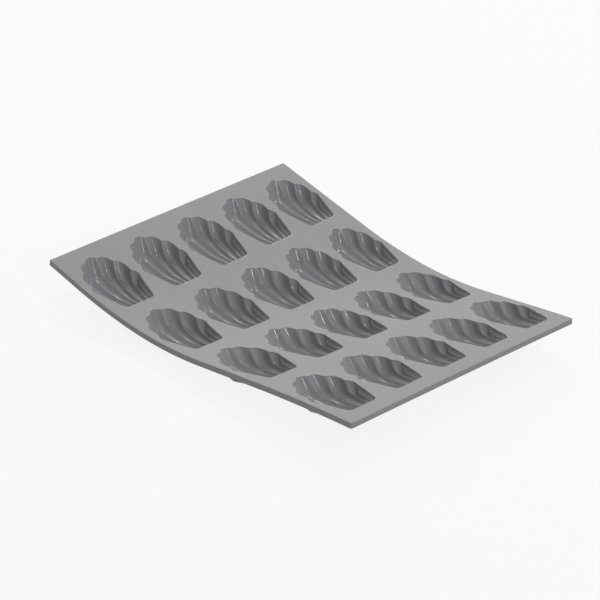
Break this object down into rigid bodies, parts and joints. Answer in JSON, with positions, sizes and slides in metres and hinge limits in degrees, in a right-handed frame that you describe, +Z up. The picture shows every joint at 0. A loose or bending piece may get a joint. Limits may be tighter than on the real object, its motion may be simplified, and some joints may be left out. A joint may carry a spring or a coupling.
{
  "type": "madeleine mould",
  "caption": "Flexible silicone baking mould: a thin rectangular deck with rows of fluted shell cups, joined by webs that bend, resting in a gentle flex.",
  "frame": {"origin": "under the middle of the mould, at the level of its lowest cup foot", "axes": "+Z up out of the cavities' mouths, +X along the rows' order from the lifted end to the low end, +Y across the rows"},
  "size_m": [0.2092, 0.1764, 0.0341],
  "materials": {
    "deck_silicone": "matte, very fine grain",
    "cup_silicone": "smooth and glossy inside, matte outside"
  },
  "bodies": {
    "row_1": {"deck_row_1": "deck_silicone", "flex_web_1": "deck_silicone", "shell_cup_r1c1": "cup_silicone", "shell_cup_r1c2": "cup_silicone", "shell_cup_r1c3": "cup_silicone", "shell_cup_r1c4": "cup_silicone", "shell_cup_r1c5": "cup_silicone"},
    "row_2": {"deck_row_2": "deck_silicone", "shell_cup_r2c1": "cup_silicone", "shell_cup_r2c2": "cup_silicone", "shell_cup_r2c3": "cup_silicone", "shell_cup_r2c4": "cup_silicone", "shell_cup_r2c5": "cup_silicone"},
    "row_3": {"deck_row_3": "deck_silicone", "flex_web_2": "deck_silicone", "shell_cup_r3c1": "cup_silicone", "shell_cup_r3c2": "cup_silicone", "shell_cup_r3c3": "cup_silicone", "shell_cup_r3c4": "cup_silicone", "shell_cup_r3c5": "cup_silicone"},
    "row_4": {"deck_row_4": "deck_silicone", "flex_web_3": "deck_silicone", "shell_cup_r4c1": "cup_silicone", "shell_cup_r4c2": "cup_silicone", "shell_cup_r4c3": "cup_silicone", "shell_cup_r4c4": "cup_silicone", "shell_cup_r4c5": "cup_silicone"}
  },
  "joints": [
    {"name": "web_flex_1", "type": "hinge", "parent": "row_2", "child": "row_1", "pos_m": [-0.05013, 0.00004, 0.01545], "axis": [0.0039, 0.9989, 0.0472], "range_deg": [-49, 31], "stiffness_Nm_per_rad": 0.3, "deforming": ["flex_web_1"]},
    {"name": "web_flex_2", "type": "hinge", "parent": "row_2", "child": "row_3", "pos_m": [-0.00016, 0.00009, 0.01039], "axis": [0.0013, -1, 0], "range_deg": [-52, 28], "stiffness_Nm_per_rad": 0.3, "deforming": ["flex_web_2"]},
    {"name": "web_flex_3", "type": "hinge", "parent": "row_3", "child": "row_4", "pos_m": [0.04997, 0.00011, 0.01389], "axis": [-0.0019, -0.9996, 0.0295], "range_deg": [-38, 42], "stiffness_Nm_per_rad": 0.3, "deforming": ["flex_web_3"]}
  ]
}
